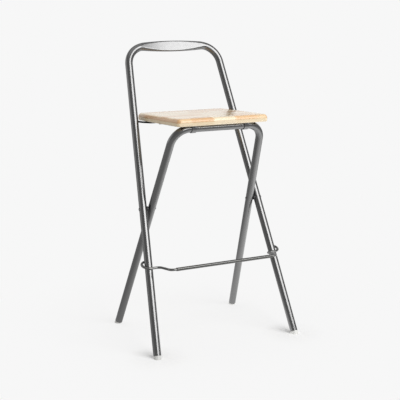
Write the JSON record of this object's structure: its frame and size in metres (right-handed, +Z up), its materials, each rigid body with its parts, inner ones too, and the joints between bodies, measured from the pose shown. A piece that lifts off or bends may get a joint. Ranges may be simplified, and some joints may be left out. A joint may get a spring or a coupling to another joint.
{
  "type": "folding bar stool",
  "caption": "Folding bar stool: crossed tubular steel frames on rivets, a flattened tube backrest, a square wooden seat that flips up on its bar and a sleeved rod footrest.",
  "frame": {"origin": "on the floor, under the middle of the stool's box, with the stool unfolded", "axes": "+Z up, the sitter faces -Y, +X to the right of someone who faces the stool from the front"},
  "size_m": [0.5256, 0.4226, 0.9473],
  "materials": {
    "grey_lacquered_steel": "gloss",
    "bright_steel": "satin",
    "black_lacquered_steel": "satin",
    "black_plastic": "matte",
    "translucent_plastic": "satin",
    "lacquered_wood": "satin lacquer"
  },
  "bodies": {
    "outer_frame": {"outer_frame_tube": "grey_lacquered_steel", "front_glide_left": "translucent_plastic", "front_glide_right": "translucent_plastic", "footrest_rod": "grey_lacquered_steel", "seat_support_rod": "black_lacquered_steel", "pivot_rivet_left": "bright_steel", "pivot_rivet_right": "bright_steel", "pivot_spacer_left": "black_plastic", "pivot_spacer_right": "black_plastic"},
    "inner_frame": {"inner_frame_tube": "grey_lacquered_steel", "rear_glide_left": "translucent_plastic", "rear_glide_right": "translucent_plastic"},
    "seat": {"seat_board": "lacquered_wood", "seat_clip_left": "grey_lacquered_steel", "seat_clip_right": "grey_lacquered_steel", "seat_catch_left": "black_plastic", "seat_catch_right": "black_plastic", "clip_screw_left_front": "bright_steel", "clip_screw_left_rear": "bright_steel", "clip_screw_right_front": "bright_steel", "clip_screw_right_rear": "bright_steel", "catch_screw_left_front": "bright_steel", "catch_screw_left_rear": "bright_steel", "catch_screw_right_front": "bright_steel", "catch_screw_right_rear": "bright_steel"},
    "footrest_sleeve": {"footrest_sleeve": "grey_lacquered_steel"}
  },
  "joints": [
    {"name": "frame_fold", "type": "hinge", "parent": "outer_frame", "child": "inner_frame", "pos_m": [0, -0.01393, 0.4307], "axis": [-1, 0, 0], "range_deg": [0, 35]},
    {"name": "seat_flip", "type": "hinge", "parent": "inner_frame", "child": "seat", "pos_m": [0, -0.12943, 0.6946], "axis": [1, 0, 0], "range_deg": [0, 105]},
    {"name": "sleeve_turn", "type": "hinge", "parent": "outer_frame", "child": "footrest_sleeve", "pos_m": [0, -0.17643, 0.268], "axis": [1, 0, 0], "continuous": true}
  ],
  "couplings": [
    {"joint": "seat_flip", "follows": "frame_fold", "ratio": 3}
  ]
}
